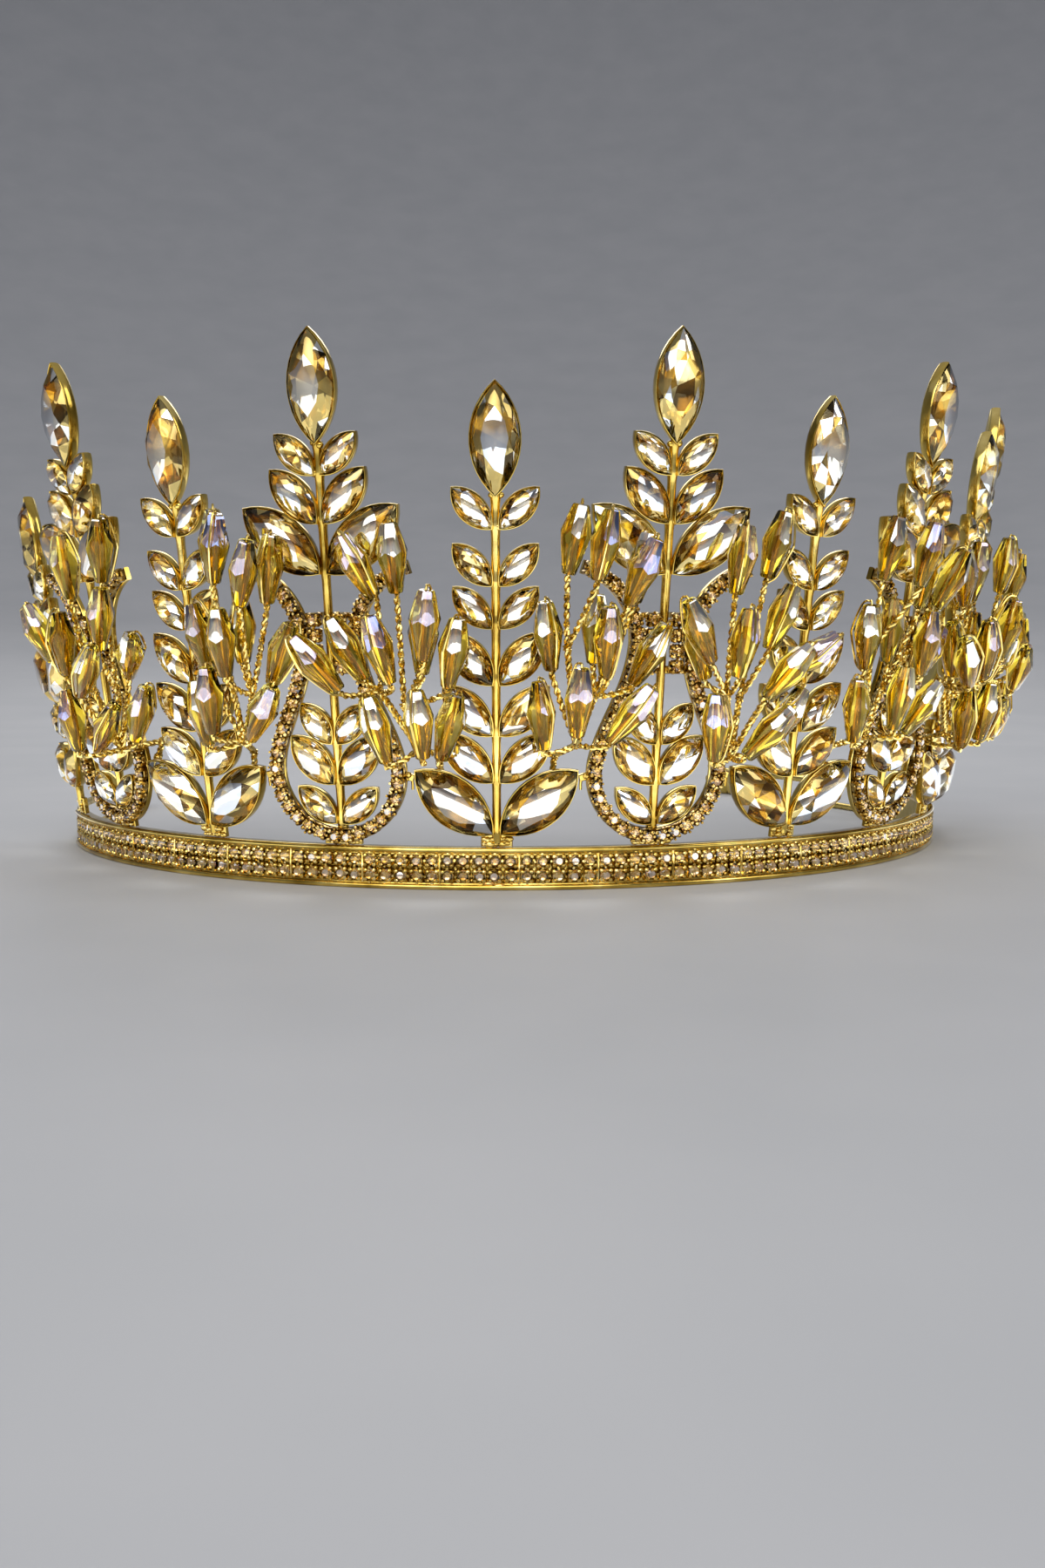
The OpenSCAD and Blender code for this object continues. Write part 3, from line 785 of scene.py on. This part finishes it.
def add_stem(form, m, low, k, rng):
    """The stem from the height low up, with a joint at each pair of leaves and solder where their cups meet it."""
    high = top_of(k)[0] + 0.5
    joints = [row[0] + 0.5 for row in pairs_of(k)] + [top_of(k)[0] + 0.2]
    count = int((high - low) / 0.45)
    path, radii = [], []
    for i in range(count + 1):
        y = low + (high - low) * i / count
        near = min(abs(y - j) for j in joints)
        path.append((0, y, 0.69))
        radii.append(STEM_D / 2 * (0.84 + 0.2 * math.exp(-(near / 0.8) ** 2)))
    form.add(*tube(path, radii, 12), place=m)
    for y in joints:
        for side in (-1, 1):
            squash = (rng.uniform(0.9, 1.5), rng.uniform(0.9, 1.3), rng.uniform(0.8, 1.1))
            centre = (side * rng.uniform(0.35, 0.7), y + rng.uniform(-0.2, 0.3), rng.uniform(0.7, 1.1))
            form.add(*ball(centre, rng.uniform(0.36, 0.52), squash, 7, 10), place=m)


def add_foot(form, m, width, height, rows, rng):
    """A tab with rounded corners and rows of solder beads, each row with its height and how far it stands out."""
    strip_bar(form, [(0, 0.02), (0, height / 2), (0, height)], width, 0.02, m)
    for v, depth in rows:
        x = -width / 2 + 0.4
        while x < width / 2 - 0.3:
            radius = rng.uniform(0.24, 0.5)
            squash = (rng.uniform(1.0, 1.7), rng.uniform(0.8, 1.2), 0.9)
            centre = (x, v + rng.uniform(-0.1, 0.12), 0.62 + 0.3 * rng.random() * depth)
            form.add(*ball(centre, radius, squash, 6, 9), look=2, place=m)
            x += radius * rng.uniform(1.5, 2.1)


def build_setting(k):
    form = Form([GOLD, GOLD_BACK, GOLD_CUP])
    m = at_motif(k)
    rng = random.Random(100 + k)
    loop = k % 2 == 0
    for place, length, width in leaf_places(k):
        points, faces, look = leaf_cup(length, width)
        form.add(points, faces, look=look, place=m @ place)
    stem_low = FOOT_Y - LOOP_R + STRIP_W / 2 + 2 * GAP if loop else 0.6
    add_stem(form, m, stem_low, k, rng)
    if loop:
        add_foot(form, m, 5.6, 1.0, [(0.35, 1.5)], rng)
        whole = [(-x, y) for x, y in reversed(HALF_LINE[1:])] + HALF_LINE
        strip_bar(form, whole, STRIP_W - 0.3, 0.05, m)
        # The bars across the loop's neck, and the one below its stem
        strip_bar(form, [(-3.6, 24.7), (0, 24.75), (3.6, 24.7)], 1.1, 0.1, m)
        strip_bar(form, [(-3.4, 32.2), (-0.9, 32.3)], 0.8, 0.1, m)
        strip_bar(form, [(0.9, 32.3), (3.4, 32.2)], 0.8, 0.1, m)
        strip_bar(form, [(0, 0.3), (0, stem_low + 1)], STEM_D, 0.05, m)
        for side in (-1, 1):
            add_lug(form, m, side, rng)
    else:
        add_foot(form, m, 4.4, 2.6, [(0.35, 1.5), (1.1, 1.35), (1.9, 1.1)], rng)
    form.piece(place_name("casting", k), place_name("setting", k), "gold", 42)


# Looks of a large stone's facets: plain, white flash, blue flash, amber flash, then the foils
STONE_LOOKS = [CRYSTAL, CRYSTAL_FLASH, CRYSTAL_BLUE, CRYSTAL_AMBER, *FOILS]
FIRST_FOIL = len(STONE_LOOKS) - len(FOILS)
# The looks that its table is drawn from. The odds of its crown facets' looks and of its foils, and the same for a
# pale stone
STONE_TABLES = [1, 1, 1, 2, 2, 0]
CROWN_ODDS = ([4, 1, 0.5, 5], [4, 2, 1, 3])
FOIL_ODDS = ([10, 8, 5, 2, 1], [4, 3, 5, 5, 3])


def facet_looks(kinds, pale, rng):
    """A look for each facet, so that no two stones sparkle alike."""
    table = rng.choice(STONE_TABLES)
    out = []
    for kind in kinds:
        if kind == TABLE:
            out.append(table)
        elif kind == BACK:
            out.append(rng.choices(range(FIRST_FOIL, len(STONE_LOOKS)), FOIL_ODDS[pale])[0])
        else:
            out.append(rng.choices(range(FIRST_FOIL), CROWN_ODDS[pale])[0])
    return out


def build_stones(k):
    """The top stone and the leaf stones of a casting, each set a little unevenly in its cup."""
    m = at_motif(k)
    rng = random.Random(200 + k)
    inset, girdle = SEAT
    leaves = leaf_places(k)
    crest, rest = Form(STONE_LOOKS), Form(STONE_LOOKS)
    for i, (place, length, width) in enumerate(leaves):
        crown = 0.25 * width
        depth = min(0.4 * width, girdle - 0.3)
        centre = moved(0, length / 2, girdle)
        lean = turned(rng.uniform(-2.5, 2.5), "X") @ turned(rng.uniform(-3, 3), "Y")
        table = rng.uniform(0.54, 0.64)
        points, faces, kinds = navette(length, width, inset + 0.03, girdle, crown, table, depth)
        # The smallest stones are pale, and so are some of the others
        pale = width < 4.5 or rng.random() < 0.25
        form = crest if i == len(leaves) - 1 else rest
        form.add(points, faces, look=facet_looks(kinds, pale, rng), smooth=False,
                 place=m @ place @ centre @ lean @ centre.inverted())
    crest.piece(place_name("crest_navette", k), place_name("crest_stone", k), "champagne_stones")
    rest.piece(place_name("leaf_navettes", k), place_name("leaf_stones", k), "champagne_stones")


# Spacing of a loop's stones. The rows beside the stem at its neck: distance from it, height of the lowest, spacing
LOOP_PITCH = 1.95
NECK_X = 1.86
NECK_LOW = 25.3
NECK_PITCH = 2.15


def build_loop_pave(k):
    form = Form(LOOP_LOOKS)
    m = at_motif(k)
    rng = random.Random(300 + k)
    base = PLATE_T + GAP
    girdle, top = base + 1.0, base + STRIP_T - 0.02
    count = int(HALF_LENGTH / LOOP_PITCH)
    step = HALF_LENGTH / count
    spots = []
    for p, d in walk(HALF_LINE, [step * (j + 0.5) for j in range(count)]):
        for side in (-1, 1):
            spots.append((side * p.x, p.y, math.degrees(math.atan2(d.y, side * d.x))))
    for side in (-1, 1):
        spots += [(side * NECK_X, NECK_LOW + NECK_PITCH * j, 90) for j in range(4)]
    for x, y, angle in spots:
        place = m @ moved(x, y, 0) @ turned(angle + rng.uniform(-4, 4), "Z")
        set_small_stone(form, place, rng, 0.84, 0.95, 1.0, base, girdle, top)
    form.piece(place_name("loop_rhinestones", k), place_name("loop_pave", k), "rhinestones")


# ---- Sprays ----


def loop_side(k):
    """1 if the loop beside the spray lies in the direction of x, else -1."""
    return 1 if (k > 0) == (k % 2 == 0) else -1


def spray_point(k, p):
    return Vector((loop_side(k) * p[0], p[1], p[2]))


def bead_direction(k, b):
    lean, tilt = math.radians(b[3]), math.radians(b[4])
    return spray_point(k, (math.sin(lean) * math.cos(tilt), math.cos(lean) * math.cos(tilt), math.sin(tilt)))


def bead_frame(k, b, turn):
    """Frame whose z runs along the bead from its root end."""
    aim = bead_direction(k, b).to_track_quat("Z", "Y").to_matrix().to_4x4()
    return Matrix.Translation(spray_point(k, b)) @ aim @ turned(turn, "Z")


# Broad facets round a bead's upper half, narrow flutes below each of them, the radius and the bevel of its top,
# how far the corners between the halves rise, and the bore's radius
BEAD_FACETS = 6
BEAD_FLUTES = 2
BEAD_TOP_R = 1.17
BEAD_BEVEL = 0.2
BEAD_RISE = 0.42
BEAD_BORE = 0.46
BELLY_Z = BEAD_BELLY * BEAD_LEN


def bead_form():
    """Points and faces of a drilled bicone bead, and for each face whether it belongs to the broad facets."""
    n, m = BEAD_FACETS, BEAD_FACETS * BEAD_FLUTES
    shoulder, end = BEAD_LEN - BEAD_BEVEL, BEAD_END_D / 2
    half = math.pi / n
    flat_top, flat_belly = BEAD_TOP_R * math.cos(half), (BEAD_D / 2 - 0.06) * math.cos(half)

    def level(count, r, z):
        return [(r * c, r * s, z) for c, s in circle(count)]

    # The line where fluted and broad facets meet. It lies on the broad ones' planes and rises at their corners
    zigzag = []
    for i in range(m):
        z = BELLY_Z + BEAD_RISE if i % BEAD_FLUTES == 0 else BELLY_Z - 0.5 * BEAD_RISE
        flat = flat_belly + (flat_top - flat_belly) * (z - BELLY_Z) / (shoulder - BELLY_Z)
        a = 2 * math.pi * i / m
        r = flat / math.cos(a % (2 * half) - half)
        zigzag.append((r * math.cos(a), r * math.sin(a), z))
    points = level(m, BEAD_BORE, 0) + level(m, end - 0.15, 0) + level(m, end, 0.16) + zigzag
    points += level(n, BEAD_TOP_R, shoulder) + level(n, BEAD_TOP_R - BEAD_BEVEL, BEAD_LEN)
    points += level(n, BEAD_BORE, BEAD_LEN)
    zig, top = 3 * m, 4 * m
    rim, bore = top + n, top + 2 * n
    faces = []
    for row in range(0, zig, m):
        for i in range(m):
            j = (i + 1) % m
            faces.append([row + i, row + j, row + m + j, row + m + i])
    broad = [False] * len(faces)
    for i in range(n):
        j = (i + 1) % n
        steps = [(BEAD_FLUTES * i + t) % m for t in range(BEAD_FLUTES + 1)]
        faces += [[zig + t for t in steps] + [top + j, top + i], [top + i, top + j, rim + j, rim + i],
                  [rim + i, rim + j, bore + j, bore + i], [bore + i, bore + j] + steps[::-1]]
        broad += [True, True, True, False]
    return points, faces, broad


def turn_between(a, b):
    """Angle in degrees between two directions as seen along z."""
    turn = math.degrees(math.atan2(a.y, a.x) - math.atan2(b.y, b.x))
    return abs((turn + 180) % 360 - 180)


# The looks that a bead's coat is drawn from. They are partly a real coat and partly painted highlight, since their
# pale colours sit on the facets that face out and up. The plain one is on the broad facets that it leaves free
COAT_AND_HIGHLIGHT_LOOKS = [2, 2, 2, 2, 3, 3, 3, 4]
PLAIN_COAT = 1


def build_spray_beads(k):
    form = Form([BEAD, *BEAD_COATS_AND_HIGHLIGHTS])
    rng = random.Random(400 + k)
    points, faces, broad = bead_form()
    middles = [sum((Vector(points[i]) for i in face), Vector()) / len(face) for face in faces]
    for b in BEADS[SPRAY_KINDS[k]]:
        place = at_spray(k) @ bead_frame(k, b, rng.uniform(0, 30))
        # The coat shows on the one or two broad facets that face most outwards and up, so these facets are paler on
        # the side where the light falls: partly a real coat, partly painted highlight
        coat = rng.choice(COAT_AND_HIGHLIGHT_LOOKS)
        out = at_spray(k).to_3x3() @ Vector((rng.uniform(-0.5, 0.5), 0.4, 1))
        towards = place.to_3x3().inverted() @ out
        look = [0] * len(faces)
        for i, middle in enumerate(middles):
            if broad[i]:
                look[i] = coat if turn_between(middle, towards) < rng.uniform(32, 62) else PLAIN_COAT
        form.add(points, faces, look=look, smooth=False, place=place)
    form.piece(place_name("bicone_beads", k), place_name("spray_beads", k), "honey_beads")


def smooth_path(points, steps):
    """Catmull-Rom curve through the points."""
    pts = [Vector(p) for p in points]
    pts = [2 * pts[0] - pts[1]] + pts + [2 * pts[-1] - pts[-2]]
    out = []
    for i in range(1, len(pts) - 2):
        a, b, c, d = pts[i - 1:i + 3]
        for j in range(steps):
            t = j / steps
            bend = (2 * a - 5 * b + 4 * c - d) * t * t + (3 * b - a - 3 * c + d) * t ** 3
            out.append(0.5 * (2 * b + (c - a) * t + bend))
    out.append(pts[-2])
    return out


def resample(path, step):
    """Points along a path at equal distances of about one step."""
    total = length_of(path)
    count = max(4, int(total / step))
    return [p for p, _ in walk(path, [total * j / count for j in range(count + 1)])]


# Radius of a twisted wire. How far its middle lies from the twist's, and the length of a turn, in a trunk of three
# wires and in a stem of two
WIRE_R = 0.24
TRUNK_OFFSET, TRUNK_PITCH = 0.27, 2.8
STEM_OFFSET, STEM_PITCH = 0.23, 2.4
# How far a coil climbs in a turn
COIL_RISE = 0.42


def strands(form, path, count, offset, pitch, place, phase):
    """Wires twisted round each other along a path of close points."""
    frames = frames_along(path)
    lengths = [0.0]
    for a, b in zip(path, path[1:]):
        lengths.append(lengths[-1] + (b - a).length)
    for w in range(count):
        line = []
        for (p, side, up), s in zip(frames, lengths):
            a = phase + 2 * math.pi * (s / pitch + w / count)
            line.append(p + (side * math.cos(a) + up * math.sin(a)) * offset)
        form.add(*tube(line, WIRE_R, 6), place=place)


def coil(start, head, radius, count, per_turn):
    """Points of a close coil round a line from start in the direction head."""
    across = head.orthogonal().normalized()
    over = head.cross(across)
    out = []
    for j in range(count):
        t = 2 * math.pi * j / per_turn
        out.append(start + head * COIL_RISE * j / per_turn + (across * math.cos(t) + over * math.sin(t)) * radius)
    return out


def bead_wire():
    """Path of the wire that goes through a bead, over its top and back down its side, in the bead's frame."""
    end, half, top = BEAD_END_D / 2, BEAD_D / 2, BEAD_LEN
    knots = [(0, -0.3), (0, top * 0.5), (0, top + 0.15), (0.3, top + 0.52), (end * 0.8, top + 0.5),
             (end + 0.34, top - 0.1), (half * 0.8 + 0.15, top - 1.9), (half + 0.16, BELLY_Z + 0.3),
             (half + 0.12, BELLY_Z - 0.5), (end + 0.75, 1.9), (end + 0.2, 0.35), (0.3, -0.5)]
    return smooth_path([(x, 0, z) for x, z in knots], 4)


def build_spray_wire(k):
    form = Form([GOLD_WIRE])
    kind = SPRAY_KINDS[k]
    place = at_spray(k)
    rng = random.Random(500 + k)
    knots = [spray_point(k, p) for p in KNOTS[kind]]
    step = STEM_PITCH / 9
    for knot, row in list(zip(knots, KNOTS[kind]))[1:]:
        before = knots[row[3]]
        strands(form, resample([before, knot], step), 3, TRUNK_OFFSET, TRUNK_PITCH, place, rng.uniform(0, 6))
        # Nearly two turns of one wire round the fork
        head = (knot - before).normalized()
        form.add(*tube(coil(knot - head * 0.45, head, 0.46, 29, 16), 0.18, 6), place=place)
    # A close coil that ties the trunk to the back of its leaf
    head = (knots[1] - knots[0]).normalized()
    form.add(*tube(coil(knots[0] - head * 0.4, head, 0.48, 50, 14), 0.19, 6), place=place)
    for b in BEADS[kind]:
        root, head, knot = spray_point(k, b), bead_direction(k, b), knots[b[5]]
        foot = root - head * 0.8
        reach = (foot - knot).length
        path = [knot, foot, root - head * 0.25]
        if reach >= 2.5:
            path.insert(1, knot.lerp(foot, 0.5) - head * 0.05 * reach)
        strands(form, resample(smooth_path(path, 8), step), 2, STEM_OFFSET, STEM_PITCH, place, rng.uniform(0, 6))
        side = rng.choice([-1, 1]) * rng.uniform(50, 130)
        form.add(*tube(bead_wire(), 0.165, 6), place=place @ bead_frame(k, b, side))
    form.piece(place_name("twisted_wires", k), place_name("spray_wire", k), "gold_wire")


build_headband()
build_band_pave()
for side in (-1, 1):
    build_arm(side)
for k in MOTIFS:
    build_setting(k)
    build_stones(k)
    if k % 2 == 0:
        build_loop_pave(k)
for k in SPRAY_KINDS:
    build_spray_beads(k)
    build_spray_wire(k)


# ---- Floor, light and camera ----


FLOOR_TONES = [(0.3, (0.5, 0.505, 0.512)), (0.7, (0.54, 0.54, 0.545))]
ROOM_TONES = [(0.0, (0.1, 0.105, 0.115)), (0.4, (0.19, 0.195, 0.21)), (1.0, (0.46, 0.47, 0.52))]
# The point that the softboxes face
CENTRE = (0, 77, 40)
# The low cards: length and width, and distance of their middles from the middle of the band's curve
CARD_SIZE = (200, 245)
CARD_AWAY = 208


def build_studio():
    """A pale round floor that curves up into a plain wall all the way round."""
    flat, bend, around = 420, 2400, 96
    line = [(flat / 2, 0)]
    for a in range(0, 88, 3):
        line.append((flat + bend * math.sin(math.radians(a)), bend - bend * math.cos(math.radians(a))))
    rings = [[(r * METRE * c, r * METRE * s, z * METRE) for c, s in circle(around)] for r, z in line]
    points, faces = skin(rings, end_cap=False)
    mesh = bpy.data.meshes.new("studio")
    mesh.from_pydata(points, [], faces)
    mesh.polygons.foreach_set("use_smooth", [True] * len(faces))
    floor = bpy.data.objects.new("studio", mesh)
    bpy.context.scene.collection.objects.link(floor)
    mat, tree, shader = new_material("pale_floor", Roughness=0.6)
    tree.links.new(ramp(tree, noise(tree, 2, 3), FLOOR_TONES), shader.inputs["Base Color"])
    mesh.materials.append(mat)


def area_light(name, size, power, place, colour=(1, 1, 1), spread=180):
    """A rectangular light that the camera doesn't see. Place is its frame in metres, and spread its beam's angle."""
    light = bpy.data.lights.new(name, "AREA")
    light.shape = "RECTANGLE"
    light.size, light.size_y = size[0] * METRE, size[1] * METRE
    light.energy = power
    light.color = colour
    light.spread = math.radians(spread)
    obj = bpy.data.objects.new(name, light)
    obj.matrix_world = place
    obj.visible_camera = False
    bpy.context.scene.collection.objects.link(obj)


def softbox(name, place, size, power, spread=180):
    """A light that faces the crown."""
    aim = (Vector(CENTRE) - Vector(place)).to_track_quat("-Z", "Y").to_matrix().to_4x4()
    area_light(name, size, power, Matrix.Translation(Vector(place) * METRE) @ aim, spread=spread)


def low_card(name, azimuth, power):
    """A bright card that lies just above the floor in front of the crown, for the leaning stones to mirror."""
    middle = Matrix.Translation(Vector((0, BAND_R, 0)) * METRE) @ turned(azimuth, "Z")
    place = middle @ Matrix.Translation(Vector((0, -CARD_AWAY, 2)) * METRE) @ turned(180, "X")
    area_light(name, CARD_SIZE, power, place, colour=(0.9, 0.95, 1.0))


def build_world():
    """An even room, brighter overhead than at its sides."""
    world = bpy.data.worlds.new("room")
    world.use_nodes = True
    tree = world.node_tree
    coord = tree.nodes.new("ShaderNodeTexCoord")
    split = tree.nodes.new("ShaderNodeSeparateXYZ")
    tree.links.new(coord.outputs["Generated"], split.inputs["Vector"])
    back = tree.nodes["Background"]
    tree.links.new(ramp(tree, split.outputs["Z"], ROOM_TONES), back.inputs["Color"])
    bpy.context.scene.world = world


def build_camera():
    """A camera in the photo's direction from the crown, but a little above the floor."""
    azimuth, elevation = math.radians(-16), math.radians(5)
    distance, target = 296, Vector((3.4, 77, 8))
    camera = bpy.data.cameras.new("camera")
    camera.sensor_fit = "AUTO"
    camera.sensor_width = 36
    camera.lens = 36
    camera.clip_start, camera.clip_end = 0.01, 20
    level = math.cos(elevation)
    back = Vector((math.sin(azimuth) * level, -math.cos(azimuth) * level, math.sin(elevation)))
    obj = bpy.data.objects.new("camera", camera)
    obj.location = (target + back * distance) * METRE
    obj.rotation_mode = "QUATERNION"
    obj.rotation_quaternion = (-back).to_track_quat("-Z", "Y")
    bpy.context.scene.collection.objects.link(obj)
    bpy.context.scene.camera = obj


build_studio()
softbox("key", (-520, -1120, 900), (2000, 1040), 6.6, 90)
softbox("fill", (700, -500, 680), (430, 560), 2.0)
softbox("rim", (120, 620, 420), (500, 200), 1.0)
for i, (azimuth, power) in enumerate([(-92, 0.14), (-46, 0.2), (0, 0.24), (46, 0.2), (92, 0.14)]):
    low_card(f"low_card_{i}", azimuth, power)
build_world()
build_camera()
bpy.context.scene.view_settings.view_transform = "Standard"
bpy.context.scene.view_settings.exposure = 0.0
